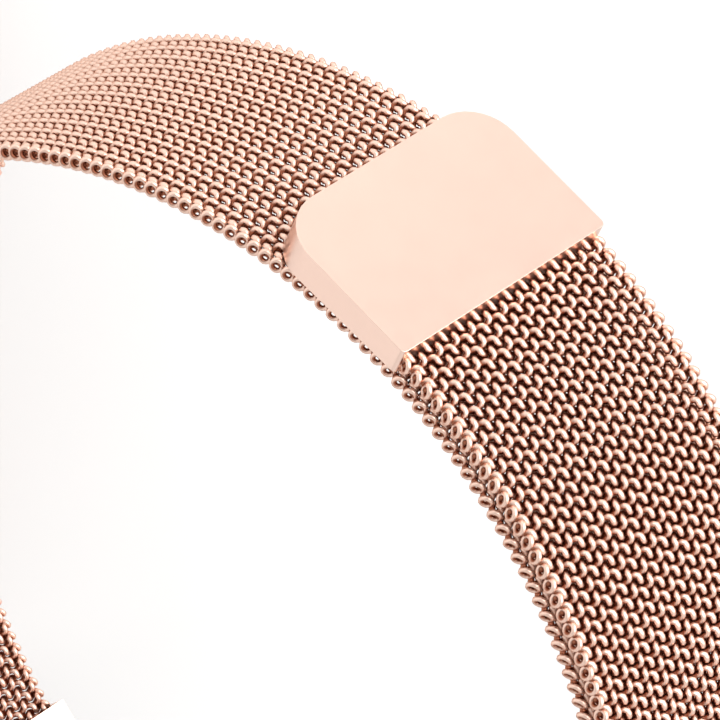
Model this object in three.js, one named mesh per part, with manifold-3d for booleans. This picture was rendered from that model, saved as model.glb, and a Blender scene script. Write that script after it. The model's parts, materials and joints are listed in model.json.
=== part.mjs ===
// Smartwatch on a woven steel strap that closes with a magnetic clasp plate.
// Units are millimetres, +Z up.
// Origin: centre of the flat charging window on the back of the head.
// +Y points out of the back towards the wrist and the display faces -Y.
// +Z is twelve o'clock and the crown is on +X.
// Angles round the strap loop are in degrees from +Y, positive towards +Z.
import * as THREE from 'three';
import { mergeVertices } from 'three/addons/utils/BufferGeometryUtils.js';
import Module from 'manifold-3d';

const wasm = await Module();
wasm.setup();

// ---- driving dimensions -------------------------------------------------------------------

const ROUND = 48; // facets round the head
const FINE = 12; // facets round pins and screws

// head, depths counted from the back plane towards the display
const CASE_R = 20;
const CAVITY_R = 17.4;
const CASE_BACK = 0.5;
const CASE_FRONT = 9.4;
const COVER_R = 17.6;
const WINDOW_R = 10.5;
const FLOOR_TOP = 2.5; // annular floor inside the case that carries the back cover
const FLOOR_BOTTOM = 3.7;
const FLOOR_R = 13.6;
const SCREW_CIRCLE_R = 15.2;
const FIT = 0.15; // clearance between round parts that share an axis

// lugs and spring bars
const LUG_GAP = 20;
const LUG_W = 2.8;
const LUG_TIP_R = 1.9;
const BAR_R = 0.75;
const BAR_HALF = 8.6;
const PIN_R = 0.42;
const PIN_END = 10.6;
const BARREL_R = 1.5;
const BARREL_BORE_R = 1.05;
const BARREL_W = 19.4;

// strap loop round an axis along X: a circle that leans a little out of round on the far side
// and stretches towards the lugs
const LOOP_Y = 39;
const BAND_R = 38.2;
const LEAN = 1.5;
const LEAN_END = 125;
const STRETCH_START = 75;
const LUG_BAR_Y = -3.3;
const LUG_BAR_Z = 23.25;
const BAND_T = 1.25;
const BAND_W = 18;
const BAND_START = -147.4;
const ARC_STEP = 3;

// slotted ring that the strap is threaded through
const RING_ANGLE = 144.75;
const RING_BAR_R = 0.6;
const FOLD_R = 1.7;
const RING_W = 21.2;
const SLOT_W = 18.7;
const SLOT_NEAR = 2.6;
const SLOT_END = 8.6;

// folded-back tail, made of short links so that it can be peeled off
const TAIL_LIFT = 1.55;
const TAIL_SETTLE = 120;
const TAIL_JOINTS = [131, 113, 95, 77, 59, 41];
const TAIL_END = 24.9;
const TONGUE_END = 22; // thin tongue of the tail held inside the clasp
const TONGUE_LIFT = 1.4;
const TONGUE_T = 0.6;
const TONGUE_W = 16.2;
const LINK_GAP = 0.3;

// clasp plate
const CLASP_ANGLE = 14.4;
const CLASP_TILT = 4.9; // free end stands further from the band than the held end
const CLASP_W = 18.2;
const CLASP_L = 11.7;
const CLASP_TOP = 2.87; // above the middle of the band
const CLASP_SEAT = 0.32; // clearance to the band underneath
const CLASP_CORNER_R = 3.3;
const CLASP_SKIN = 0.5;

// crown and side button
const CROWN_DEPTH = 5.6;
const CROWN_R = 3;
const CROWN_IN = 20.55;
const CROWN_OUT = 23.4;
const STEM_R = 0.85;
const BUTTON_ANGLE = 34; // degrees below three o'clock
const BUTTON_L = 4.8;
const BUTTON_W = 1.8;

// ---- materials ----------------------------------------------------------------------------

const finish = (color, roughness, metalness) =>
  new THREE.MeshStandardMaterial({ color, roughness, metalness });

const ROSE = finish(0xf2c4ab, 0.28, 1);
const MESH = finish(0xd9a184, 0.32, 1);
const STEEL = finish(0xb9bcc0, 0.3, 1);
const GLASS = finish(0x101317, 0.06, 0);
const CERAMIC = finish(0x17181a, 0.2, 0);
const RUBBER = finish(0x1d1d1f, 0.85, 0);
const BOARD = finish(0x1f5a3c, 0.6, 0);
const CHIP = finish(0x2b2b2e, 0.45, 0.1);
const CELL = finish(0xc9ccd0, 0.45, 0.6);
const COPPER = finish(0xb36a3c, 0.35, 1);
const MAGNET = finish(0x8d9094, 0.4, 0.9);
const FERRITE = finish(0x3a3634, 0.8, 0);
const PLASTIC = finish(0x2a2c30, 0.55, 0);

// ---- geometry helpers ---------------------------------------------------------------------

const rad = THREE.MathUtils.degToRad;

// Shared vertices, no collapsed triangles and faces pointing out.
function closed(source) {
  source.deleteAttribute('normal');
  source.deleteAttribute('uv');
  const geometry = mergeVertices(source, 1e-5);
  const place = geometry.attributes.position;
  const index = geometry.index.array;
  const corner = [new THREE.Vector3(), new THREE.Vector3(), new THREE.Vector3()];
  const kept = [];
  let volume = 0;
  for (let i = 0; i < index.length; i += 3) {
    const [a, b, c] = [index[i], index[i + 1], index[i + 2]];
    if (a === b || b === c || c === a) continue;
    kept.push(a, b, c);
    corner[0].fromBufferAttribute(place, a);
    corner[1].fromBufferAttribute(place, b);
    corner[2].fromBufferAttribute(place, c);
    volume += corner[0].dot(corner[1].cross(corner[2]));
  }
  if (volume < 0) kept.reverse();
  geometry.setIndex(kept);
  return geometry;
}

function toSolid(geometry) {
  const ready = closed(geometry.clone());
  return new wasm.Manifold(new wasm.Mesh({
    numProp: 3,
    vertProperties: new Float32Array(ready.attributes.position.array),
    triVerts: new Uint32Array(ready.index.array),
  }));
}

function fromSolid(solid) {
  const mesh = solid.getMesh();
  const geometry = new THREE.BufferGeometry();
  geometry.setAttribute('position', new THREE.BufferAttribute(mesh.vertProperties, 3));
  geometry.setIndex([...mesh.triVerts]);
  return geometry;
}

// First geometry with the added ones joined on and the cut ones taken away.
function shaped(base, added, cut) {
  let solid = toSolid(base);
  for (const piece of added) solid = solid.add(toSolid(piece));
  for (const piece of cut) solid = solid.subtract(toSolid(piece));
  return fromSolid(solid);
}

// Body turned about the Y axis; each profile pair is a radius and a depth below the back plane.
function turned(profile, facets = ROUND) {
  const outline = profile.map(([radius, depth]) => new THREE.Vector2(radius, -depth));
  return new THREE.LatheGeometry(outline, facets);
}

function disc(radius, top, bottom, facets = ROUND) {
  return turned([[0, top], [radius, top], [radius, bottom], [0, bottom]], facets);
}

function hoop(inner, outer, top, bottom, facets = ROUND) {
  const outline = [[inner, top], [outer, top], [outer, bottom], [inner, bottom], [inner, top]];
  return turned(outline, facets);
}

function cylinderX(radius, x0, x1, facets = FINE) {
  const geometry = new THREE.CylinderGeometry(radius, radius, x1 - x0, facets);
  return geometry.rotateZ(-Math.PI / 2).translate((x0 + x1) / 2, 0, 0);
}

function box(x, y, z, cx = 0, cy = 0, cz = 0) {
  return new THREE.BoxGeometry(x, y, z).translate(cx, cy, cz);
}

// O-ring round the Y axis, or round the X axis when turned.
function oring(radius, thickness, facets = ROUND) {
  return new THREE.TorusGeometry(radius, thickness, 6, facets).rotateX(Math.PI / 2);
}

// Outline in the Y-Z plane pushed out along X.
function acrossX(shape, x0, x1) {
  const geometry = new THREE.ExtrudeGeometry(shape, { depth: x1 - x0, bevelEnabled: false });
  const basis = new THREE.Matrix4().makeBasis(
    new THREE.Vector3(0, 1, 0),
    new THREE.Vector3(0, 0, 1),
    new THREE.Vector3(1, 0, 0),
  );
  return geometry.applyMatrix4(basis).translate(x0, 0, 0);
}

// Outline in the X-Z plane (second value counted towards -Z) pushed out along Y.
function plate(shape, y0, y1) {
  const geometry = new THREE.ExtrudeGeometry(shape, { depth: y1 - y0, bevelEnabled: false });
  return geometry.rotateX(-Math.PI / 2).translate(0, y0, 0);
}

function pill(length, width) {
  const shape = new THREE.Shape();
  const straight = (length - width) / 2;
  shape.absarc(straight, 0, width / 2, -Math.PI / 2, Math.PI / 2, false);
  shape.absarc(-straight, 0, width / 2, Math.PI / 2, Math.PI * 1.5, false);
  return new THREE.Shape(shape.getPoints(8));
}

// Axis of the spring bar at twelve o'clock in the Y-Z plane; six o'clock mirrors it.
const LUG_BAR = new THREE.Vector2(LUG_BAR_Y, LUG_BAR_Z);
const LUG_R = Math.hypot(LUG_BAR_Y - LOOP_Y, LUG_BAR_Z);
const LUG_ANGLE = THREE.MathUtils.radToDeg(Math.atan2(LUG_BAR_Z, LUG_BAR_Y - LOOP_Y));

// Point on the strap loop, in the Y-Z plane.
function onLoop(radius, angle) {
  return new THREE.Vector2(
    LOOP_Y + radius * Math.cos(rad(angle)),
    radius * Math.sin(rad(angle)),
  );
}

function radiusOfBand(angle) {
  const turn = Math.abs(angle);
  const fade = turn < LEAN_END ? Math.cos((Math.PI / 2) * (turn / LEAN_END)) ** 2 : 0;
  const stretch = (LUG_R - BAND_R) * THREE.MathUtils.smoothstep(turn, STRETCH_START, LUG_ANGLE);
  return BAND_R + LEAN * Math.sin(2 * rad(angle)) * fade + stretch;
}

// Direction square to the band, pointing away from the wrist, as an angle from +Y.
function normalAngle(angle) {
  const step = 0.5;
  const before = onLoop(radiusOfBand(angle - step), angle - step);
  const after = onLoop(radiusOfBand(angle + step), angle + step);
  return Math.atan2(after.y - before.y, after.x - before.x) - Math.PI / 2;
}

// Points along the loop from one angle to another, on a radius that may depend on the angle.
function loopPath(from, to, radiusAt) {
  const steps = Math.max(1, Math.round(Math.abs(to - from) / ARC_STEP));
  const points = [];
  for (let i = 0; i <= steps; i += 1) {
    const angle = from + ((to - from) * i) / steps;
    points.push(onLoop(radiusAt(angle), angle));
  }
  return points;
}

// Outline of a strip of even thickness along a centre line.
function ribbon(path, thickness) {
  const left = [];
  const right = [];
  path.forEach((point, i) => {
    const before = path[Math.max(0, i - 1)];
    const after = path[Math.min(path.length - 1, i + 1)];
    const along = after.clone().sub(before).normalize();
    const side = new THREE.Vector2(-along.y, along.x).multiplyScalar(thickness / 2);
    left.push(point.clone().add(side));
    right.push(point.clone().sub(side));
  });
  return new THREE.Shape([...left, ...right.reverse()]);
}

// ---- assembly -----------------------------------------------------------------------------

const watch = new THREE.Group();

function place(name, geometry, material, parent = watch) {
  const mesh = new THREE.Mesh(closed(geometry), material);
  mesh.name = name;
  parent.add(mesh);
  return mesh;
}

function group(x, y, z, turnX = 0, turnY = 0, parent = watch) {
  const holder = new THREE.Group();
  holder.position.set(x, y, z);
  holder.rotation.set(turnX, turnY, 0);
  parent.add(holder);
  return holder;
}

const RING_BAR = onLoop(radiusOfBand(RING_ANGLE) + FOLD_R, RING_ANGLE);
const SCREW_ANGLES = [45, 135, 225, 315];

// ---- case ---------------------------------------------------------------------------------

function lugOutline(end) {
  const shape = new THREE.Shape();
  const root = 15.2;
  const tip = LUG_BAR;
  shape.moveTo(-1.5, end * root);
  shape.lineTo(-1.5, end * (tip.y - 1));
  for (let i = 0; i <= 8; i += 1) {
    const turn = rad(15 + (i * 165) / 8);
    shape.lineTo(tip.x + LUG_TIP_R * Math.cos(turn), end * (tip.y + LUG_TIP_R * Math.sin(turn)));
  }
  shape.lineTo(-8.6, end * (root + 2.2));
  shape.lineTo(-8.6, end * root);
  return shape;
}

function buildCase() {
  const body = turned([
    [COVER_R + FIT, CASE_BACK],
    [CASE_R - 1.2, CASE_BACK],
    [CASE_R, 2],
    [CASE_R, 8],
    [CASE_R - 0.5, CASE_FRONT],
    [CAVITY_R, CASE_FRONT],
    [CAVITY_R, FLOOR_BOTTOM],
    [FLOOR_R, FLOOR_BOTTOM],
    [FLOOR_R, FLOOR_TOP],
    [COVER_R + FIT, FLOOR_TOP],
    [COVER_R + FIT, CASE_BACK],
  ]);
  const lugs = [];
  const cuts = [];
  for (const side of [-1, 1]) {
    for (const end of [-1, 1]) {
      const inner = side > 0 ? LUG_GAP / 2 : -LUG_GAP / 2 - LUG_W;
      lugs.push(acrossX(lugOutline(end), inner, inner + LUG_W));
      const hole = cylinderX(PIN_R + 0.2, LUG_GAP / 2 - 0.5, PIN_END + 0.2);
      hole.scale(side, 1, 1).translate(0, LUG_BAR.x, end * LUG_BAR.y);
      cuts.push(hole);
    }
  }
  for (const angle of SCREW_ANGLES) {
    const x = SCREW_CIRCLE_R * Math.cos(rad(angle));
    const z = SCREW_CIRCLE_R * Math.sin(rad(angle));
    cuts.push(disc(1, FLOOR_TOP - 0.5, FLOOR_BOTTOM + 0.5, FINE).translate(x, 0, z));
  }
  cuts.push(cylinderX(2.05, 16, 21, 24).translate(0, -CROWN_DEPTH, 0));
  const pocket = plate(pill(BUTTON_L + 0.6, BUTTON_W + 0.6), 18.9, 21);
  const bore = disc(1, -19.5, -16, FINE);
  for (const cut of [pocket, bore]) {
    cut.rotateZ(-Math.PI / 2).rotateX(Math.PI / 2);
    cut.rotateY(rad(BUTTON_ANGLE)).translate(0, -CROWN_DEPTH, 0);
    cuts.push(cut);
  }
  for (const z of [-3.6, -1.2, 1.2, 3.6]) {
    const slot = cylinderX(0.4, -21, -16, 12);
    cuts.push(slot.translate(0, -CROWN_DEPTH, z));
  }
  return shaped(body, lugs, cuts);
}

place('case_middle', buildCase(), ROSE);

place('bezel_ring', turned([
  [CAVITY_R - 0.1, 9.5],
  [CASE_R - 0.6, 9.5],
  [CASE_R - 0.8, 10.2],
  [CASE_R - 1.6, 10.9],
  [CAVITY_R - 0.1, 10.9],
  [CAVITY_R - 0.1, 9.5],
]), ROSE);

place('crystal', turned([
  [0, 9.7],
  [CAVITY_R - 0.3, 9.7],
  [CAVITY_R - 0.3, 10.8],
  [CAVITY_R - 1, 11.3],
  [0, 11.3],
]), GLASS);

place('crystal_gasket', hoop(15.9, 17.2, 9.3, 9.6), RUBBER);
place('display_panel', disc(15.6, 8.95, 9.55), GLASS);
place('display_frame', hoop(13.8, 17.2, 8.3, 8.85), PLASTIC);

// ---- back ---------------------------------------------------------------------------------

function buildBackCover() {
  const body = turned([
    [WINDOW_R + FIT, 0.2],
    [COVER_R - 0.6, 0.2],
    [COVER_R, 0.7],
    [COVER_R, 1.6],
    [WINDOW_R + 1.3, 1.6],
    [WINDOW_R + 1.3, 1],
    [WINDOW_R + FIT, 1],
    [WINDOW_R + FIT, 0.2],
  ]);
  const cuts = SCREW_ANGLES.flatMap((angle) => {
    const x = SCREW_CIRCLE_R * Math.cos(rad(angle));
    const z = SCREW_CIRCLE_R * Math.sin(rad(angle));
    return [
      disc(1.5, 0, 0.95, FINE).translate(x, 0, z),
      disc(0.9, 0, 2, FINE).translate(x, 0, z),
    ];
  });
  return shaped(body, [], cuts);
}

place('back_cover', buildBackCover(), ROSE);

place('back_window', turned([
  [0, 0],
  [WINDOW_R - 0.3, 0],
  [WINDOW_R, 0.2],
  [WINDOW_R, 1.1],
  [WINDOW_R + 1, 1.1],
  [WINDOW_R + 1, 1.6],
  [0, 1.6],
]), CERAMIC);

place('back_gasket', oring(16.8, 0.35).translate(0, -2.05, 0), RUBBER);

SCREW_ANGLES.forEach((angle, i) => {
  const holder = group(
    SCREW_CIRCLE_R * Math.cos(rad(angle)),
    0,
    SCREW_CIRCLE_R * Math.sin(rad(angle)),
  );
  const profile = [[0, 0.25], [1.25, 0.25], [1.25, 0.85], [0.65, 0.85], [0.65, 3.4], [0, 3.4]];
  const screw = turned(profile, FINE);
  const driveSlot = box(1.6, 0.6, 0.35, 0, -0.25, 0);
  place(`back_screw_${i + 1}`, shaped(screw, [], [driveSlot]), STEEL, holder);
});

// ---- electronics --------------------------------------------------------------------------

place('charging_coil', hoop(6, 10, 1.8, 2.4, 32), COPPER);
place('coil_shield', hoop(5.6, 10.4, 2.55, 2.9, 32), FERRITE);
place('sensor_board', disc(5.2, 2.4, 3, 32), BOARD);
place('green_led', box(1.4, 0.5, 1.4, 0, -2, 0), GLASS);
place('photodiode_1', box(1.8, 0.4, 1.8, 0, -2.05, 3.1), CHIP);
place('photodiode_2', box(1.8, 0.4, 1.8, 0, -2.05, -3.1), CHIP);
const cellProfile = [[0, 3.9], [11.8, 3.9], [12.2, 4.2], [12.2, 5.8], [11.8, 6.1], [0, 6.1]];
place('battery', turned(cellProfile), CELL);
place('processor', box(10, 0.8, 10, 0, -6.75, 0), CHIP);

function buildBoard() {
  const outline = disc(16.4, 7.3, 8.1, 48);
  const crownRelief = box(4, 3, 7, 16.4, -7.7, 0);
  const cableRelief = box(6, 3, 2, 0, -7.7, 16.4);
  return shaped(outline, [], [crownRelief, cableRelief]);
}

place('main_board', buildBoard(), BOARD);

function buildDisplayCable() {
  const path = [
    new THREE.Vector2(-8.9, 13.3),
    new THREE.Vector2(-8.2, 13.3),
    new THREE.Vector2(-8.2, 12.9),
  ];
  return acrossX(ribbon(path, 0.12), -2, 2);
}

place('display_cable', buildDisplayCable(), COPPER);

// linear haptic motor: an open tray with a sliding weight
const HAPTIC = group(0, -5.4, -14.6);
const tray = shaped(
  box(9, 2.8, 3.4),
  [],
  [box(8, 2.8, 2.4, 0, -0.5, 0)],
);
place('haptic_tray', tray, STEEL, HAPTIC);
place('haptic_weight', box(6.4, 1.9, 1.8, 0, -0.25, 0), MAGNET, HAPTIC);

function buildSpeaker() {
  const body = box(3.2, 3, 9.6, -14.6, -5.5, 0);
  const port = box(1.2, 1.4, 8.2, -16, -CROWN_DEPTH, 0);
  return shaped(body, [], [port]);
}

place('speaker_module', buildSpeaker(), PLASTIC);

// ---- crown --------------------------------------------------------------------------------

function buildKnob() {
  const knob = new THREE.LatheGeometry([
    new THREE.Vector2(0, CROWN_IN),
    new THREE.Vector2(CROWN_R - 0.3, CROWN_IN),
    new THREE.Vector2(CROWN_R, CROWN_IN + 0.3),
    new THREE.Vector2(CROWN_R, CROWN_OUT - 0.5),
    new THREE.Vector2(CROWN_R - 0.5, CROWN_OUT),
    new THREE.Vector2(0, CROWN_OUT),
  ], 36).rotateZ(-Math.PI / 2);
  const flutes = [];
  for (let i = 0; i < 18; i += 1) {
    const turn = (i * Math.PI * 2) / 18;
    const flute = cylinderX(0.22, CROWN_IN - 0.2, CROWN_OUT + 0.2, 6);
    flutes.push(flute.translate(0, CROWN_R * Math.cos(turn), CROWN_R * Math.sin(turn)));
  }
  const socket = cylinderX(STEM_R + 0.2, CROWN_IN - 0.5, CROWN_IN + 1.5);
  return shaped(knob, [], [...flutes, socket]);
}

const CROWN = group(0, -CROWN_DEPTH, 0);
place('crown_knob', buildKnob(), ROSE, CROWN);
place('crown_stem', cylinderX(STEM_R, 15.6, CROWN_IN + 1.3), STEEL, CROWN);
const tubeBody = cylinderX(1.9, 17, 20.05, 24);
const tubeCuts = [cylinderX(1.1, 16, 21, 24), cylinderX(1.6, 19.2, 21, 24)];
place('crown_tube', shaped(tubeBody, [], tubeCuts), STEEL, CROWN);
place('crown_seal', oring(1.24, 0.24, 24).rotateZ(Math.PI / 2).translate(19.6, 0, 0), RUBBER, CROWN);
place('crown_switch', box(1, 2.6, 3, 14.6, 0, 0), CHIP, CROWN);

// ---- side button --------------------------------------------------------------------------

const BUTTON = group(0, -CROWN_DEPTH, 0, 0, rad(BUTTON_ANGLE));

function buildButton() {
  const cap = plate(pill(BUTTON_L, BUTTON_W), 19.35, 20.55);
  const rod = disc(0.6, -19.5, -16.9, FINE);
  return shaped(cap, [rod], []).rotateZ(-Math.PI / 2).rotateX(Math.PI / 2);
}

place('side_button', buildButton(), ROSE, BUTTON);
place('button_seal', oring(0.8, 0.14, 16).rotateZ(Math.PI / 2).translate(18, 0, 0), RUBBER, BUTTON);
place('button_switch', box(0.9, 2, 2.6, 16, 0, 0), CHIP, BUTTON);

// ---- spring bars --------------------------------------------------------------------------

const KNOB_X = 7.2; // thumb knob of the release pin
const RELEASE_TRAVEL = 1;

function springCoil() {
  const turns = 6;
  const steps = 60;
  const start = -1.6;
  const length = 4.7;
  const coilR = 0.36;
  const points = [];
  for (let i = 0; i <= steps; i += 1) {
    const share = i / steps;
    const turn = share * turns * Math.PI * 2;
    const [y, z] = [coilR * Math.cos(turn), coilR * Math.sin(turn)];
    points.push(new THREE.Vector3(start + share * length, y, z));
  }
  const wire = new THREE.Shape();
  wire.absarc(0, 0, 0.07, 0, Math.PI * 2, false);
  return new THREE.ExtrudeGeometry(new THREE.Shape(wire.getPoints(2).slice(0, -1)), {
    steps,
    bevelEnabled: false,
    extrudePath: new THREE.CatmullRomCurve3(points),
  });
}

// The thumb knob points at the wrist, so it lies on the inner side of the loop.
function buildSpringBar(name, end) {
  const toCentre = Math.atan2(-end * LUG_BAR.y, LOOP_Y - LUG_BAR.x);
  const holder = group(0, LUG_BAR.x, end * LUG_BAR.y, toCentre);
  const tube = shaped(
    cylinderX(BAR_R, -BAR_HALF, BAR_HALF),
    [cylinderX(PIN_R, -PIN_END, -BAR_HALF + 0.5)],
    [
      cylinderX(0.52, -2, BAR_HALF + 1),
      box(RELEASE_TRAVEL + 1.2, 2, 0.8, KNOB_X - RELEASE_TRAVEL / 2, 1, 0),
    ],
  );
  place(`spring_bar_${name}`, tube, STEEL, holder);
  const pin = shaped(
    cylinderX(PIN_R, 4.4, PIN_END, 12),
    [box(0.6, 1.75, 0.5, KNOB_X, 0.875, 0)],
    [],
  );
  place(`release_pin_${name}`, pin, STEEL, holder);
  place(`bar_spring_${name}`, springCoil(), STEEL, holder);
}

buildSpringBar('12', 1);
buildSpringBar('6', -1);

// Opening in a barrel for the thumb knob, in the spring bar's own frame.
function knobWindow() {
  return box(RELEASE_TRAVEL + 1.6, 2, 1.2, KNOB_X - RELEASE_TRAVEL / 2, 1.3, 0);
}

// ---- slotted ring -------------------------------------------------------------------------

const ringDirection = Math.atan2(RING_BAR.y - LUG_BAR.y, RING_BAR.x - LUG_BAR.x);
const RING_REACH = RING_BAR.distanceTo(LUG_BAR);

function buildRing() {
  const neck = SLOT_NEAR - 0.2;
  const far = RING_REACH + RING_BAR_R;
  const narrow = BARREL_W / 2;
  const wide = RING_W / 2;
  const oneSide = [
    new THREE.Vector2(0.9, narrow),
    new THREE.Vector2(neck, narrow),
    new THREE.Vector2(neck + 0.6, wide),
    new THREE.Vector2(far - 0.4, wide),
    new THREE.Vector2(far, wide - 0.4),
  ];
  const otherSide = oneSide.map((corner) => new THREE.Vector2(corner.x, -corner.y));
  const frame = new THREE.Shape([...otherSide, ...oneSide.reverse()]);
  const flat = { depth: 2 * RING_BAR_R, bevelEnabled: false };
  const frameBody = new THREE.ExtrudeGeometry(frame, flat);
  const slot = box(SLOT_W, SLOT_END - SLOT_NEAR, 4, 0, (SLOT_END + SLOT_NEAR) / 2, 0);
  const bar = cylinderX(RING_BAR_R, -RING_W / 2 + 0.3, RING_W / 2 - 0.3).translate(0, RING_REACH, 0);
  // frame outline: first value along the ring, second across it
  const lay = new THREE.Matrix4().makeBasis(
    new THREE.Vector3(0, 1, 0),
    new THREE.Vector3(-1, 0, 0),
    new THREE.Vector3(0, 0, 1),
  );
  frameBody.applyMatrix4(lay).translate(0, 0, -RING_BAR_R);
  const barrel = cylinderX(BARREL_R, -BARREL_W / 2, BARREL_W / 2, 24);
  const bore = cylinderX(BARREL_BORE_R, -RING_W, RING_W, 24);
  const windowTurn = Math.atan2(-LUG_BAR.y, LOOP_Y - LUG_BAR.x) - ringDirection;
  const arms = shaped(frameBody, [barrel], [slot, bore, knobWindow().rotateX(windowTurn)]);
  return shaped(arms, [bar], []);
}

const RING = group(0, LUG_BAR.x, LUG_BAR.y, ringDirection);
place('strap_ring', buildRing(), ROSE, RING);

// ---- strap --------------------------------------------------------------------------------

const HALF_GAP = THREE.MathUtils.radToDeg(LINK_GAP / 2 / BAND_R);

// The tail leaves the fold high above the band and settles onto it.
function radiusOfTail(angle) {
  const share = THREE.MathUtils.smoothstep(angle, TAIL_SETTLE, RING_ANGLE);
  return radiusOfBand(angle) + TAIL_LIFT + (2 * FOLD_R - TAIL_LIFT) * share;
}

function buildBand() {
  const path = loopPath(BAND_START, RING_ANGLE, radiusOfBand);
  const foldSteps = 10;
  for (let i = 1; i < foldSteps; i += 1) {
    const turn = rad(RING_ANGLE) + Math.PI - (Math.PI * i) / foldSteps;
    path.push(new THREE.Vector2(
      RING_BAR.x + FOLD_R * Math.cos(turn),
      RING_BAR.y + FOLD_R * Math.sin(turn),
    ));
  }
  path.push(...loopPath(RING_ANGLE, TAIL_JOINTS[0] + HALF_GAP, radiusOfTail));
  return acrossX(ribbon(path, BAND_T), -BAND_W / 2, BAND_W / 2);
}

place('strap_band', buildBand(), MESH);

TAIL_JOINTS.forEach((start, i) => {
  const last = i === TAIL_JOINTS.length - 1;
  const end = last ? TAIL_END : TAIL_JOINTS[i + 1] + HALF_GAP;
  const path = loopPath(start - HALF_GAP, end, radiusOfTail);
  const link = acrossX(ribbon(path, BAND_T), -BAND_W / 2, BAND_W / 2);
  const tonguePath = loopPath(TAIL_END + 1, TONGUE_END, (angle) => radiusOfBand(angle) + TONGUE_LIFT);
  const tongue = acrossX(ribbon(tonguePath, TONGUE_T), -TONGUE_W / 2, TONGUE_W / 2);
  place(`strap_tail_${i + 1}`, last ? shaped(link, [tongue], []) : link, MESH);
});

// End piece at six o'clock: a barrel on the spring bar and a clamp over the end of the band.
function buildEndPiece() {
  const wall = 0.57;
  const clampStart = -LUG_ANGLE + 1.3;
  const clampEnd = -LUG_ANGLE + 7.6;
  const thickness = BAND_T + 2 * FIT + 2 * wall;
  const half = BAND_W / 2;
  const clampPath = loopPath(clampStart, clampEnd, radiusOfBand);
  const clamp = acrossX(ribbon(clampPath, thickness), -half - wall, half + wall);
  const pocketPath = loopPath(BAND_START - 0.4, clampEnd + 2, radiusOfBand);
  const pocket = acrossX(ribbon(pocketPath, BAND_T + 0.4), -half - 0.2, half + 0.2);
  const barrel = cylinderX(BARREL_R, -BARREL_W / 2, BARREL_W / 2, 24);
  const bore = cylinderX(BARREL_BORE_R, -RING_W, RING_W, 24);
  const windowTurn = Math.atan2(LUG_BAR.y, LOOP_Y - LUG_BAR.x);
  const opening = knobWindow().rotateX(windowTurn);
  for (const piece of [barrel, bore, opening]) piece.translate(0, LUG_BAR.x, -LUG_BAR.y);
  return shaped(clamp, [barrel], [pocket, bore, opening]);
}

place('strap_end_piece', buildEndPiece(), ROSE);

// ---- clasp --------------------------------------------------------------------------------

const claspNormal = normalAngle(CLASP_ANGLE) + rad(CLASP_TILT);
const claspMiddle = onLoop(radiusOfBand(CLASP_ANGLE), CLASP_ANGLE);
const topMiddle = new THREE.Vector2(
  claspMiddle.x + CLASP_TOP * Math.cos(claspNormal),
  claspMiddle.y + CLASP_TOP * Math.sin(claspNormal),
);

// Clasp pieces are drawn lying flat, top face at Y = 0 and held end towards +Z.
const claspFrame = new THREE.Matrix4()
  .makeTranslation(0, topMiddle.x, topMiddle.y)
  .multiply(new THREE.Matrix4().makeRotationX(claspNormal));

// Two round corners at the free end; the second value runs to the free end.
function claspOutline(inset, extraRear = 0) {
  const half = CLASP_W / 2 - inset;
  const front = CLASP_L / 2 - inset;
  const rear = CLASP_L / 2 + extraRear;
  const corner = CLASP_CORNER_R - inset;
  const shape = new THREE.Shape();
  shape.moveTo(-half, -rear);
  shape.lineTo(half, -rear);
  shape.absarc(half - corner, front - corner, corner, 0, Math.PI / 2, false);
  shape.absarc(-half + corner, front - corner, corner, Math.PI / 2, Math.PI, false);
  return new THREE.Shape(shape.getPoints(6));
}

// The underside is hollowed to the curve of the band that it lies on.
function buildClaspCover() {
  const block = plate(claspOutline(0), -4, 0).applyMatrix4(claspFrame);
  const pocket = plate(claspOutline(CLASP_SKIN, 1), -5, -CLASP_SKIN).applyMatrix4(claspFrame);
  const depth = 6;
  const lift = BAND_T / 2 + CLASP_SEAT - depth / 2;
  const path = loopPath(CLASP_ANGLE - 18, CLASP_ANGLE + 18, (angle) => radiusOfBand(angle) + lift);
  const band = acrossX(ribbon(path, depth), -CLASP_W, CLASP_W);
  return shaped(block, [], [pocket, band]);
}

place('clasp_cover', buildClaspCover(), ROSE);

const magnetPlaces = [-5.5, 0, 5.5];
magnetPlaces.forEach((x, i) => {
  const magnet = box(4.6, 0.7, 5.2, x, -1.25, -0.7).applyMatrix4(claspFrame);
  place(`clasp_magnet_${i + 1}`, magnet, MAGNET);
});
const base = plate(claspOutline(CLASP_SKIN + FIT), -1.95, -1.75);
const tongueRoom = box(CLASP_W, 3, 4, 0, -2, CLASP_L / 2);
place('clasp_base', shaped(base, [], [tongueRoom]).applyMatrix4(claspFrame), STEEL);

export default watch;
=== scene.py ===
"""Smartwatch on a woven steel strap: the visual model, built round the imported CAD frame.

Lengths are in metres and the axes are the frame's: the origin is on the back of the head, the
display faces -Y, +Z is twelve o'clock and the crown is on +X.  Angles are in degrees, and those
round the strap loop are measured from +Y, positive towards +Z.
"""

import json
import math

import bmesh
import bpy
import numpy as np
from mathutils import Matrix, Vector


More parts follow.
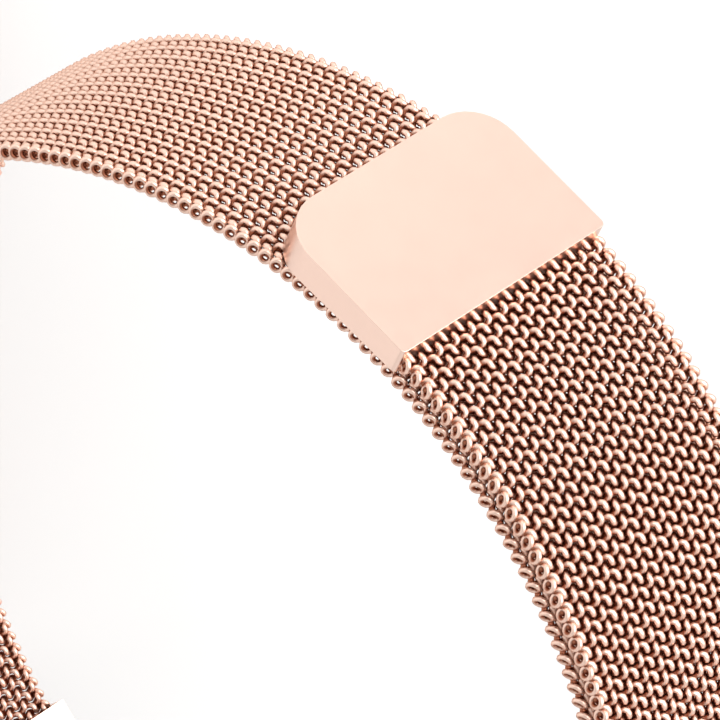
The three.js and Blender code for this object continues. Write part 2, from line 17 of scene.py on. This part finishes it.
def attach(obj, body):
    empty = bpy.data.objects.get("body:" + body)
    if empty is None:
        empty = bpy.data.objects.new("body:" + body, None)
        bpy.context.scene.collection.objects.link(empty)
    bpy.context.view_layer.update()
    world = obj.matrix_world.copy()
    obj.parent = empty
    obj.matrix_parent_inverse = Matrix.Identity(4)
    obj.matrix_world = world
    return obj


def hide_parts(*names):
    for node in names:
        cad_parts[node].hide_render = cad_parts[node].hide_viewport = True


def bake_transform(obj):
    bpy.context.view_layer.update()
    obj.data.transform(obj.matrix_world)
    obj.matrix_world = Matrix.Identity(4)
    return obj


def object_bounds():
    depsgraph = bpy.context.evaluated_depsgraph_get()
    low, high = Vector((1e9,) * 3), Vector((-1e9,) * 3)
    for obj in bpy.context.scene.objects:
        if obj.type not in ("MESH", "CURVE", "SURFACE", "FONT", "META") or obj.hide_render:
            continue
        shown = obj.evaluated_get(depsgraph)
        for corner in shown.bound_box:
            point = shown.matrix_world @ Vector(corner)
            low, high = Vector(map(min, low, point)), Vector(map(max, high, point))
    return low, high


MM = 0.001
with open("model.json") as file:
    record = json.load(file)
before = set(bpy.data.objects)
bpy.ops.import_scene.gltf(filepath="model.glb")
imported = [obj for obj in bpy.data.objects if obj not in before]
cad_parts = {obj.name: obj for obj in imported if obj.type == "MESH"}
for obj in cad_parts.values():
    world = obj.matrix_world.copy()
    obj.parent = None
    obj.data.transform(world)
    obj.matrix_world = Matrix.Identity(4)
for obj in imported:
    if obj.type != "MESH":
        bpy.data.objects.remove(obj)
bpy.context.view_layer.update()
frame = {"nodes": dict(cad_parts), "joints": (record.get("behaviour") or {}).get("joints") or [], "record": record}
joints = {j["name"]: j for j in frame["joints"]}

# ---- driving dimensions ------------------------------------------------------------------

# strap loop, the same curve as in the CAD source
LOOP_Y = 39 * MM
BAND_R = 38.2 * MM
LEAN = 1.5 * MM
LEAN_END = 125
STRETCH_START = 75
BAND_START = -147.4
RING_ANGLE = 144.75
FOLD_R = 1.7 * MM
TAIL_LIFT = 1.55 * MM
TAIL_SETTLE = 120
TAIL_HIDDEN_END = 21.5
BAND_T = 1.25 * MM
BAND_W = 18 * MM

# the strap's centre line is sampled at these angles and starts clear of the end piece
PATH_STEP = 0.25
FOLD_STEP = 3
START_GAP = 0.4

# the strap's fixed part is built in several pieces, and its tail in one piece round each of its hinges
BAND_PIECES = 5
HINGES = 6

# woven wire: coils that run across the strap, each one linked into the next
COIL_TURNS = 12
ROW_STEP = 0.495 * MM
WIRE_R = 0.215 * MM
COIL_ALONG = 0.35 * MM
COIL_RISE = 0.385 * MM
TOP_STRAIGHTEN = 0.6
STEPS_PER_TURN = 12
WIRE_SIDES = 6

# closed links along both edges of the strap, one for every pair of coils
LINK_ALONG = 0.31 * MM
LINK_RISE = 0.43 * MM
LINK_WIRE_R = 0.18 * MM
LINK_TWIST = 0.17 * MM
LINK_STEPS = 14
# the links' painted shade is shifted down by this much, so their inner sides are painted darker
LINK_PAINTED_SHADE_SHIFT = 0.25

# clasp plate, a hollow cover with two round corners and two nearly square ones
CLASP_ANGLE = 14.4
CLASP_TILT = 4.9
CLASP_W = 18.2 * MM
CLASP_L = 11.7 * MM
CLASP_TOP = 2.87 * MM
CLASP_SEAT = 0.05 * MM
CLASP_WALL = 0.45 * MM
CLASP_CORNER_R = 3.3 * MM
CLASP_SQUARE_R = 0.35 * MM
CLASP_EDGE_R = 0.025 * MM
CLASP_FOOT_R = 0.08 * MM
CLASP_REACH = 14
CLASP_SHARP = 50

# easing of the edges of the CAD parts that stay visible
EASED = 0.1 * MM
EASED_ANGLE = 35
WELDED = 0.002 * MM

# dial on the display
DIAL_R = 14.4 * MM
MINUTE_TICK = 0.8 * MM
HOUR_TICK = 3 * MM
HOUR_HAND = 305
HOUR_HAND_TIP = 7.2 * MM
HOUR_HAND_W = 0.84 * MM
MINUTE_HAND = 55
MINUTE_HAND_TIP = 11 * MM
MINUTE_HAND_W = 0.6 * MM
HAND_TAIL = 1.6 * MM
HUB_R = 0.9 * MM

# colours of the rose metal, of the wire on its crests, of the painted shade that darkens the weave's hollows, and
# of the wire's tint at grazing angles
ROSE = (0.93, 0.68, 0.57)
WIRE = (0.95, 0.68, 0.56)
PAINTED_SHADE = (0.38, 0.14, 0.08)
GRAZING = (0.75, 0.5, 0.4)

# camera
CAMERA_PLACE = Vector((-0.18938, 0.28455, 0.16096))
CAMERA_AIM = Vector((0.011213, 0.051427, -0.003929))
CAMERA_ROLL = 125.36
LENS = 259.81
SENSOR = 36

# floor
FLOOR_HALF = 4
FLOOR_GAP = 0.5 * MM

# strength of the world away from the camera, on the camera's side, and as the backdrop
WORLD_BRIGHT = 0.92
WORLD_DIM = 0.6
BACKDROP = 0.68
FADE_START = 0.1
FADE_END = 0.75

# key light: its direction along the camera's right, up and back, then distance, size and power
KEY_SIDE = (0.7, 0.15, 0.7)
KEY_DISTANCE = 0.6
KEY_SIZE = 0.75
KEY_POWER = 6.2

# a noise's values mostly lie between these
NOISE_LOW = 0.3
NOISE_HIGH = 0.7


def smooth_share(value, start, end):
    t = np.clip((value - start) / (end - start), 0, 1)
    return t * t * (3 - 2 * t)


# ---- strap loop --------------------------------------------------------------------------

lug_y, lug_z = joints["ring_swing"]["pos_m"][1:]
LUG_R = math.hypot(lug_y - LOOP_Y, lug_z)
LUG_ANGLE = math.degrees(math.atan2(lug_z, lug_y - LOOP_Y))


def band_radius(angle):
    turn = np.abs(angle)
    fade = np.where(turn < LEAN_END, np.cos(np.pi / 2 * turn / LEAN_END) ** 2, 0)
    stretch = (LUG_R - BAND_R) * smooth_share(turn, STRETCH_START, LUG_ANGLE)
    return BAND_R + LEAN * np.sin(2 * np.radians(angle)) * fade + stretch


def tail_radius(angle):
    share = smooth_share(angle, TAIL_SETTLE, RING_ANGLE)
    return band_radius(angle) + TAIL_LIFT + (2 * FOLD_R - TAIL_LIFT) * share


def on_loop(radius, angle):
    turn = np.radians(angle)
    return np.stack([LOOP_Y + radius * np.cos(turn), radius * np.sin(turn)], -1)


def band_frame(angle):
    """Point on the band's middle, and the unit vectors along it and away from the wrist."""
    step = 0.05
    around = np.array([angle - step, angle + step])
    before, after = on_loop(band_radius(around), around)
    along = (after - before) / np.linalg.norm(after - before)
    outward = np.array([along[1], -along[0]])
    return on_loop(band_radius(np.array(angle)), np.array(angle)), along, outward


class Track:
    """A centre line in the Y-Z plane that can be read by distance along it."""

    def __init__(self, points):
        self.points = points
        steps = np.hypot(*np.diff(points, axis=0).T)
        self.distance = np.concatenate([[0], np.cumsum(steps)])
        along = np.gradient(points, axis=0)
        self.along = along / np.linalg.norm(along, axis=1, keepdims=True)

    def place(self, distance, height):
        """Y and Z of points at a distance along the line and a height to its right-hand side."""
        y, z, ty, tz = [
            np.interp(distance, self.distance, column)
            for column in (*self.points.T, *self.along.T)
        ]
        return y + tz * height, z - ty * height


# ---- materials ---------------------------------------------------------------------------


class Nodes:
    """Short names for building one material's node tree."""

    def __init__(self, name):
        self.material = bpy.data.materials.new(name)
        self.material.use_nodes = True
        self.tree = self.material.node_tree
        self.shader = self.tree.nodes["Principled BSDF"]
        self.coords = self.tree.nodes.new("ShaderNodeTexCoord").outputs["Object"]

    def link(self, source, target):
        self.tree.links.new(source, target)

    def noise(self, scale, detail):
        node = self.tree.nodes.new("ShaderNodeTexNoise")
        node.inputs["Scale"].default_value = scale
        node.inputs["Detail"].default_value = detail
        self.link(self.coords, node.inputs["Vector"])
        return node.outputs["Fac"]

    def maths(self, operation, *values):
        node = self.tree.nodes.new("ShaderNodeMath")
        node.operation = operation
        for socket, value in zip(node.inputs, values):
            if isinstance(value, (int, float)):
                socket.default_value = value
            else:
                self.link(value, socket)
        return node.outputs[0]

    def ramp(self, factor, *stops):
        node = self.tree.nodes.new("ShaderNodeValToRGB")
        while len(node.color_ramp.elements) < len(stops):
            node.color_ramp.elements.new(1)
        for element, (place, colour) in zip(node.color_ramp.elements, stops):
            element.position = place
            element.color = (*colour, 1)
        self.link(factor, node.inputs["Fac"])
        return node.outputs["Color"]

    def tones(self, noise, low, high):
        """A colour that drifts between two others with a noise."""
        return self.ramp(noise, (NOISE_LOW, low), (NOISE_HIGH, high))

    def between(self, noise, low, high):
        """A value that drifts between two others with a noise."""
        node = self.tree.nodes.new("ShaderNodeMapRange")
        node.inputs["From Min"].default_value = NOISE_LOW
        node.inputs["From Max"].default_value = NOISE_HIGH
        node.inputs["To Min"].default_value = low
        node.inputs["To Max"].default_value = high
        self.link(noise, node.inputs["Value"])
        return node.outputs["Result"]

    def mixed(self, factor, first, second):
        """One of two colours; a colour mix takes them on sockets 6 and 7 and gives output 2."""
        node = self.tree.nodes.new("ShaderNodeMix")
        node.data_type = "RGBA"
        self.link(factor, node.inputs["Factor"])
        self.link(first, node.inputs[6])
        self.link(second, node.inputs[7])
        return node.outputs[2]

    def bump(self, height, distance):
        node = self.tree.nodes.new("ShaderNodeBump")
        node.inputs["Distance"].default_value = distance
        node.inputs["Strength"].default_value = 1
        self.link(height, node.inputs["Height"])
        self.link(node.outputs["Normal"], self.shader.inputs["Normal"])

    def colour(self, source):
        self.link(source, self.shader.inputs["Base Color"])

    def roughness(self, source):
        self.link(source, self.shader.inputs["Roughness"])

    def set(self, **values):
        for name, value in values.items():
            self.shader.inputs[name.replace("_", " ")].default_value = value


def shade(colour, factor):
    return tuple(min(1.0, c * factor) for c in colour)


def metal(name, colour, rough, grain=1400, uneven=0.06, spread=0.15):
    """Metal whose tone drifts by uneven and whose roughness drifts by spread, on a fine grain."""
    nodes = Nodes(name)
    nodes.set(Metallic=1.0)
    drift = nodes.noise(scale=220, detail=4)
    nodes.colour(nodes.tones(drift, shade(colour, 1 - uneven), shade(colour, 1 + uneven / 2)))
    fine = nodes.noise(scale=grain, detail=2)
    nodes.roughness(nodes.between(fine, rough * (1 - spread), rough * (1 + spread)))
    return nodes.material


def moulded(name, colour, rough, relief=0.006 * MM):
    """Plastic, rubber, ceramic or solder mask."""
    nodes = Nodes(name)
    drift = nodes.noise(scale=300, detail=3)
    nodes.colour(nodes.tones(drift, shade(colour, 0.85), shade(colour, 1.15)))
    fine = nodes.noise(scale=2200, detail=2)
    nodes.roughness(nodes.between(fine, rough * 0.9, rough * 1.1))
    if relief:
        nodes.bump(fine, relief)
    return nodes.material


def wire_look():
    """Rose-coated wire with painted shade: its colour stays bright on the crests of the weave and is painted dark
    in its hollows.
    """
    nodes = Nodes("rose_wire")
    # the weave's height attribute drives painted shade in the base colour, darkest in the hollows
    height = nodes.tree.nodes.new("ShaderNodeAttribute")
    height.attribute_name = "painted_shade_height"
    uneven = nodes.noise(scale=700, detail=3)
    painted_shade_height = nodes.maths("MULTIPLY_ADD", uneven, 0.2, height.outputs["Fac"])
    nodes.colour(nodes.ramp(painted_shade_height, (0.5, PAINTED_SHADE), (0.75, shade(WIRE, 0.88)), (0.9, WIRE)))
    nodes.roughness(nodes.between(nodes.noise(scale=1800, detail=2), 0.36, 0.44))
    nodes.set(Metallic=1.0, Specular_Tint=(*GRAZING, 1))
    return nodes.material


def glass_look():
    nodes = Nodes("crystal_glass")
    drift = nodes.noise(scale=60, detail=2)
    nodes.colour(nodes.tones(drift, (0.96, 0.97, 0.98), (1, 1, 1)))
    nodes.set(Transmission_Weight=1.0, IOR=1.5, Roughness=0.0)
    return nodes.material


class Dial(Nodes):
    """A dark screen that shows a plain analogue dial, drawn from the object's X and Z."""

    def __init__(self, name):
        super().__init__(name)
        split = self.tree.nodes.new("ShaderNodeSeparateXYZ")
        self.link(self.coords, split.inputs[0])
        self.x, self.z = split.outputs["X"], split.outputs["Z"]
        self.radius = self.maths("SQRT", self.dot(self.x, self.z, self.x, self.z))
        self.turn = self.maths("ARCTAN2", self.x, self.z)

    def dot(self, a, b, c, d):
        return self.maths("ADD", self.maths("MULTIPLY", a, c), self.maths("MULTIPLY", b, d))

    def within(self, value, low, high):
        return self.maths("COMPARE", value, (low + high) / 2, (high - low) / 2)

    def ticks(self, count, share, length):
        """Evenly spaced marks inside the dial's edge; share is the part of each space they fill."""
        phase = self.maths("MULTIPLY_ADD", self.turn, count / (2 * math.pi), count + 0.5)
        mark = self.within(self.maths("FRACT", phase), 0.5 - share / 2, 0.5 + share / 2)
        return self.maths("MULTIPLY", mark, self.within(self.radius, DIAL_R - length, DIAL_R))

    def hand(self, degrees, width, tip):
        turn = math.radians(degrees)
        across = self.dot(self.x, self.z, math.cos(turn), -math.sin(turn))
        ahead = self.dot(self.x, self.z, math.sin(turn), math.cos(turn))
        slim = self.within(across, -width / 2, width / 2)
        return self.maths("MULTIPLY", slim, self.within(ahead, -HAND_TAIL, tip))


def display_look():
    dial = Dial("display_dial")
    marks = [
        dial.ticks(60, 0.16, MINUTE_TICK),
        dial.ticks(12, 0.07, HOUR_TICK),
        dial.hand(HOUR_HAND, HOUR_HAND_W, HOUR_HAND_TIP),
        dial.hand(MINUTE_HAND, MINUTE_HAND_W, MINUTE_HAND_TIP),
        dial.within(dial.radius, -HUB_R, HUB_R),
    ]
    lit = marks[0]
    for mark in marks[1:]:
        lit = dial.maths("MAXIMUM", lit, mark)
    glow = dial.tones(dial.noise(scale=120, detail=2), (0.9, 0.72, 0.62), (1, 0.82, 0.72))
    dark = dial.tones(dial.noise(scale=90, detail=2), (0.006, 0.007, 0.009), (0.012, 0.013, 0.016))
    dial.colour(dial.mixed(lit, dark, glow))
    dial.set(Roughness=0.35, Specular_IOR_Level=0.15)
    return dial.material


LOOKS = {
    "rose_metal": metal("rose_satin", ROSE, 0.3, grain=700, uneven=0.02, spread=0.05),
    "mesh_metal": wire_look(),
    "steel": metal("bright_steel", (0.72, 0.73, 0.75), 0.28, grain=1500),
    "ceramic": moulded("polished_ceramic", (0.02, 0.02, 0.022), 0.1, relief=0),
    "rubber": moulded("soft_rubber", (0.03, 0.03, 0.03), 0.7),
    "board": moulded("solder_mask", (0.02, 0.12, 0.06), 0.45),
    "chip": moulded("moulded_chip", (0.03, 0.03, 0.035), 0.5),
    "cell": metal("foil", (0.75, 0.76, 0.78), 0.4),
    "copper": metal("enamelled_copper", (0.7, 0.33, 0.18), 0.3, grain=2500),
    "magnet": metal("nickel", (0.6, 0.61, 0.63), 0.3),
    "ferrite": moulded("ferrite_sheet", (0.05, 0.045, 0.04), 0.6),
    "plastic": moulded("black_plastic", (0.03, 0.032, 0.036), 0.5),
    "glass": glass_look(),
    "display": display_look(),
}

# ---- mesh helpers ------------------------------------------------------------------------


def finished(name, mesh, slot, body=None):
    """A piece with its material slot's look; a piece that crosses a joint is given no body."""
    piece = bpy.data.objects.new(name, mesh)
    bpy.context.scene.collection.objects.link(piece)
    mesh.materials.append(LOOKS[slot])
    if body:
        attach(piece, body)
    return piece


def smooth_mesh(name, points, faces):
    """A smooth mesh from an array of points and an array of quads."""
    mesh = bpy.data.meshes.new(name)
    faces = np.asarray(faces, np.int32)
    corners = faces.shape[1]
    mesh.vertices.add(len(points))
    mesh.vertices.foreach_set("co", np.asarray(points, np.float32).ravel())
    mesh.loops.add(faces.size)
    mesh.loops.foreach_set("vertex_index", faces.ravel())
    mesh.polygons.add(len(faces))
    mesh.polygons.foreach_set("loop_start", np.arange(0, faces.size, corners, dtype=np.int32))
    mesh.update(calc_edges=True)
    mesh.shade_smooth()
    return mesh


def tube_faces(rings, sides):
    start = np.arange((rings - 1) * sides).reshape(rings - 1, sides)
    beside = np.roll(start, -1, 1)
    return np.stack([start, beside, beside + sides, start + sides], -1).reshape(-1, 4)


def tube_caps(rings, sides):
    """Two quads over each end of a six-sided tube."""
    first = np.array([[0, 3, 2, 1], [0, 5, 4, 3]])
    return np.concatenate([first, first[:, ::-1] + (rings - 1) * sides])


# ---- woven strap -------------------------------------------------------------------------


def wire(line, radial, radius):
    """Rings of points round a wire's centre line, starting on the side that radial points to."""
    along = np.gradient(line, axis=0)
    along /= np.linalg.norm(along, axis=1, keepdims=True)
    side = radial - (radial * along).sum(1, keepdims=True) * along
    side /= np.linalg.norm(side, axis=1, keepdims=True)
    other = np.cross(along, side)
    angle = (np.arange(WIRE_SIDES) * 2 * math.pi / WIRE_SIDES)[None, :, None]
    ring = np.cos(angle) * side[:, None] + np.sin(angle) * other[:, None]
    return line[:, None] + radius * ring


def coil(row):
    """One coil's wire, as x, distance along the strap and height; rows alternate in hand."""
    hand = 1 if row % 2 == 0 else -1
    count = COIL_TURNS * STEPS_PER_TURN + 1
    turn = np.linspace(0, COIL_TURNS * 2 * math.pi, count)
    reach = BAND_W / 2 - 2 * LINK_WIRE_R
    turned = (turn + TOP_STRAIGHTEN * np.sin(2 * turn)) / turn[-1]
    radial = np.stack([0 * turn, np.cos(turn), hand * np.sin(turn)], -1)
    line = radial * (1, COIL_ALONG, COIL_RISE)
    line[:, 0] = reach * (2 * turned - 1)
    return wire(line, radial, WIRE_R)


def edge_link(side):
    """A closed link that joins the ends of two coils at one edge of the strap."""
    turn = np.linspace(0, 2 * math.pi, LINK_STEPS + 1)
    radial = np.stack([0 * turn, np.cos(turn), np.sin(turn)], -1)
    line = radial * (1, LINK_ALONG, LINK_RISE)
    line[:, 0] = side * (BAND_W / 2 - LINK_WIRE_R - LINK_TWIST * (1 + np.cos(turn)))
    return wire(line, radial, LINK_WIRE_R)


def weave(name, track, rows, body=None):
    """One piece of the strap, with a per-point value for painted shade: high where the wire stands out, low in its
    hollows.
    """
    points, faces, painted_shade_height = [], [], []
    count = 0

    def add(tube, row, painted_shade_level):
        nonlocal count
        y, z = track.place(tube[..., 1] + row * ROW_STEP, tube[..., 2])
        points.append(np.stack([tube[..., 0], y, z], -1).reshape(-1, 3))
        painted_shade_height.append(painted_shade_level.ravel())
        faces.append(tube_faces(*tube.shape[:2]) + count)
        faces.append(tube_caps(*tube.shape[:2]) + count)
        count += len(points[-1])

    for row in rows:
        tube = coil(row)
        # a coil's painted shade follows its height above or below the strap's middle, darkest in the middle
        add(tube, row, np.abs(tube[..., 2]) / (COIL_RISE + WIRE_R))
        if row % 2 == 0:
            for side in (-1, 1):
                tube = edge_link(side)
                # a link's painted shade darkens it towards its inside
                outward = np.hypot(tube[..., 1] / LINK_ALONG, tube[..., 2] / LINK_RISE)
                add(tube, row + 0.5, outward - LINK_PAINTED_SHADE_SHIFT)
    mesh = smooth_mesh(name, np.concatenate(points), np.concatenate(faces))
    height = mesh.attributes.new("painted_shade_height", "FLOAT", "POINT")
    height.data.foreach_set("value", np.concatenate(painted_shade_height).astype(np.float32))
    return finished(name, mesh, "mesh_metal", body)


def strap_path():
    """Centre line from the end piece round the wrist, over the ring and back to the clasp."""
    band = np.arange(BAND_START + START_GAP, RING_ANGLE, PATH_STEP)
    ring_bar = on_loop(band_radius(np.array(RING_ANGLE)) + FOLD_R, np.array(RING_ANGLE))
    turn = np.radians(np.arange(RING_ANGLE + 180, RING_ANGLE - 1, -FOLD_STEP))
    fold = ring_bar + FOLD_R * np.stack([np.cos(turn), np.sin(turn)], -1)
    tail = np.arange(RING_ANGLE, TAIL_HIDDEN_END, -PATH_STEP)
    lines = [on_loop(band_radius(band), band), fold, on_loop(tail_radius(tail), tail)[1:]]
    return Track(np.concatenate(lines)), np.concatenate([band, 0 * turn + RING_ANGLE, tail[1:]])


def hinge_angle(number):
    """Angle round the loop of one of the tail's hinges."""
    y, z = joints[f"peel_{number}"]["pos_m"][1:]
    return math.degrees(math.atan2(z, y - LOOP_Y))


def build_strap():
    track, angles = strap_path()
    last_row = int(track.distance[-1] / ROW_STEP)
    fold_end = track.distance[np.argmax(angles >= RING_ANGLE)] + math.pi * FOLD_R
    hinges = [hinge_angle(number) for number in range(1, HINGES + 1)]
    spacing = hinges[0] - hinges[1]

    def row_at(angle):
        """First tail row past this angle."""
        past = (track.distance > fold_end) & (angles < angle)
        return int(track.distance[np.argmax(past)] / ROW_STEP)

    cuts = [row_at(angle + spacing / 2) for angle in hinges] + [last_row]
    for i, rows in enumerate(np.array_split(np.arange(1, cuts[0]), BAND_PIECES)):
        piece = weave(f"strap_weave_{i + 1}", track, rows, "head")
        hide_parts("strap_band")
    for i, angle in enumerate(hinges):
        piece = weave(f"tail_weave_{i + 1}", track, range(cuts[i], cuts[i + 1]))
        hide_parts(f"strap_tail_{i + 1}")
        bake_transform(piece)


build_strap()

# ---- clasp plate -------------------------------------------------------------------------


def clasp_outline(inset):
    """Plan of the plate as (x, distance towards the held end), corner by corner."""
    half = np.array([CLASP_W, CLASP_L]) / 2 - inset
    rounded = CLASP_CORNER_R - inset
    corners = [
        ((-1, -1), 180, rounded, 10),
        ((1, -1), 270, rounded, 10),
        ((1, 1), 0, CLASP_SQUARE_R, 4),
        ((-1, 1), 90, CLASP_SQUARE_R, 4),
    ]
    arcs = []
    for side, start, radius, steps in corners:
        turn = np.radians(np.linspace(start, start + 90, steps))
        arcs.append((half - radius) * side + radius * np.stack([np.cos(turn), np.sin(turn)], -1))
    return np.concatenate(arcs)


def ringed_mesh(name, points, rings, count):
    """A closed mesh from rings of points, with a flat face over the first and the last ring."""
    faces = tube_faces(rings, count).tolist()
    last = (rings - 1) * count
    faces.append(list(range(count))[::-1])
    faces.append(list(range(last, last + count)))
    mesh = bpy.data.meshes.new(name)
    mesh.from_pydata(points.tolist(), [], faces)
    bm = bmesh.new()
    bm.from_mesh(mesh)
    bmesh.ops.recalc_face_normals(bm, faces=bm.faces)
    bm.to_mesh(mesh)
    bm.free()
    return mesh


def build_clasp():
    """The plate: a flat top with an eased edge, and an underside that follows the band."""
    middle, along, outward = band_frame(CLASP_ANGLE)
    tilt = math.radians(CLASP_TILT)
    up = outward * math.cos(tilt) + along * math.sin(tilt)
    ahead = along * math.cos(tilt) - outward * math.sin(tilt)
    top = middle + CLASP_TOP * up
    near = np.linspace(CLASP_ANGLE - CLASP_REACH, CLASP_ANGLE + CLASP_REACH, 400)
    underside = on_loop(band_radius(near) + BAND_T / 2 + CLASP_SEAT, near) - top

    def level(inset, height):
        plan = clasp_outline(inset)
        return np.column_stack([plan, np.full(len(plan), height)])

    def seated(inset, gap):
        plan = clasp_outline(inset)
        height = np.interp(plan[:, 1], underside @ ahead, underside @ up)
        return np.column_stack([plan, height + gap])

    rings = []
    for turn in np.radians(np.linspace(90, 0, 6)):
        rings.append(level(CLASP_EDGE_R * (1 - math.cos(turn)), CLASP_EDGE_R * (math.sin(turn) - 1)))
    rings.append(seated(0, CLASP_FOOT_R))
    rings.append(seated(CLASP_FOOT_R, 0))
    rings.append(seated(CLASP_WALL, 0))
    rings.append(level(CLASP_WALL, -CLASP_WALL))
    flat = np.concatenate(rings)
    points = np.column_stack([flat[:, 0], top + flat[:, 1:2] * ahead + flat[:, 2:3] * up])
    mesh = ringed_mesh("clasp_plate", points, len(rings), len(rings[0]))
    mesh.shade_smooth()
    mesh.set_sharp_from_angle(angle=math.radians(CLASP_SHARP))
    piece = finished("clasp_plate", mesh, "rose_metal", "tail_6")
    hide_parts("clasp_cover")
    weighted = piece.modifiers.new("even_normals", "WEIGHTED_NORMAL")
    weighted.keep_sharp = True


build_clasp()

# ---- parts kept from the CAD frame -------------------------------------------------------


def ease_edges(node):
    node.data.shade_smooth()
    weld = node.modifiers.new("weld", "WELD")
    weld.merge_threshold = WELDED
    ease = node.modifiers.new("eased_edges", "BEVEL")
    ease.width = EASED
    ease.segments = 2
    ease.limit_method = "ANGLE"
    ease.angle_limit = math.radians(EASED_ANGLE)
    ease.use_clamp_overlap = True
    node.modifiers.new("even_normals", "WEIGHTED_NORMAL")


def dress_cad_parts():
    slots = {row["node"]: row["material_slot"] for row in frame["record"]["subparts"]}
    for name, node in frame["nodes"].items():
        node.data.materials.clear()
        node.data.materials.append(LOOKS[slots[name]])
        if not node.hide_render:
            ease_edges(node)


dress_cad_parts()

# ---- camera, floor and light -------------------------------------------------------------


def build_camera():
    camera = bpy.data.objects.new("camera", bpy.data.cameras.new("camera"))
    bpy.context.scene.collection.objects.link(camera)
    aim = (CAMERA_AIM - CAMERA_PLACE).to_track_quat("-Z", "Y").to_matrix().to_4x4()
    roll = Matrix.Rotation(math.radians(CAMERA_ROLL), 4, "Z")
    camera.matrix_world = Matrix.Translation(CAMERA_PLACE) @ aim @ roll
    camera.data.sensor_width = SENSOR
    camera.data.lens = LENS
    camera.data.clip_start = 0.01
    camera.data.clip_end = 20
    bpy.context.scene.camera = camera


def build_floor():
    half = FLOOR_HALF
    corners = [(-half, -half, 0), (half, -half, 0), (half, half, 0), (-half, half, 0)]
    mesh = bpy.data.meshes.new("floor")
    mesh.from_pydata(corners, [], [(0, 1, 2, 3)])
    floor = bpy.data.objects.new("floor", mesh)
    floor.location.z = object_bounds()[0].z - FLOOR_GAP
    bpy.context.scene.collection.objects.link(floor)
    nodes = Nodes("pale_floor")
    drift = nodes.noise(scale=2, detail=2)
    nodes.colour(nodes.tones(drift, (0.69, 0.685, 0.68), (0.73, 0.725, 0.72)))
    nodes.set(Roughness=0.7)
    mesh.materials.append(nodes.material)


def build_world():
    """A white studio that is darker on the side the camera stands on."""
    world = bpy.data.worlds.new("studio")
    bpy.context.scene.world = world
    world.use_nodes = True
    tree = world.node_tree
    facing = tree.nodes.new("ShaderNodeVectorMath")
    facing.operation = "DOT_PRODUCT"
    facing.inputs[1].default_value = (CAMERA_PLACE - CAMERA_AIM).normalized()
    coords = tree.nodes.new("ShaderNodeTexCoord")
    tree.links.new(coords.outputs["Generated"], facing.inputs[0])
    fade = tree.nodes.new("ShaderNodeMapRange")
    fade.interpolation_type = "SMOOTHSTEP"
    fade.inputs["From Min"].default_value = FADE_START
    fade.inputs["From Max"].default_value = FADE_END
    fade.inputs["To Min"].default_value = WORLD_BRIGHT
    fade.inputs["To Max"].default_value = WORLD_DIM
    tree.links.new(facing.outputs["Value"], fade.inputs["Value"])
    seen = tree.nodes.new("ShaderNodeMix")
    path = tree.nodes.new("ShaderNodeLightPath")
    tree.links.new(path.outputs["Is Camera Ray"], seen.inputs[0])
    tree.links.new(fade.outputs["Result"], seen.inputs[2])
    seen.inputs[3].default_value = BACKDROP
    background = tree.nodes["Background"]
    tree.links.new(seen.outputs[0], background.inputs["Strength"])
    background.inputs["Color"].default_value = (1, 1, 1, 1)


def build_key_light():
    """A large soft light whose place is given along the camera's own axes."""
    centre = Vector((0, LOOP_Y, 0))
    turn = bpy.context.scene.camera.matrix_world.to_3x3()
    lamp = bpy.data.lights.new("key", "AREA")
    lamp.energy = KEY_POWER
    lamp.size = KEY_SIZE
    key = bpy.data.objects.new("key", lamp)
    bpy.context.scene.collection.objects.link(key)
    key.location = centre + KEY_DISTANCE * (turn @ Vector(KEY_SIDE)).normalized()
    key.rotation_mode = "QUATERNION"
    key.rotation_quaternion = (centre - key.location).to_track_quat("-Z", "Y")


build_camera()
build_floor()
build_world()
build_key_light()
bpy.context.scene.view_settings.view_transform = "Standard"
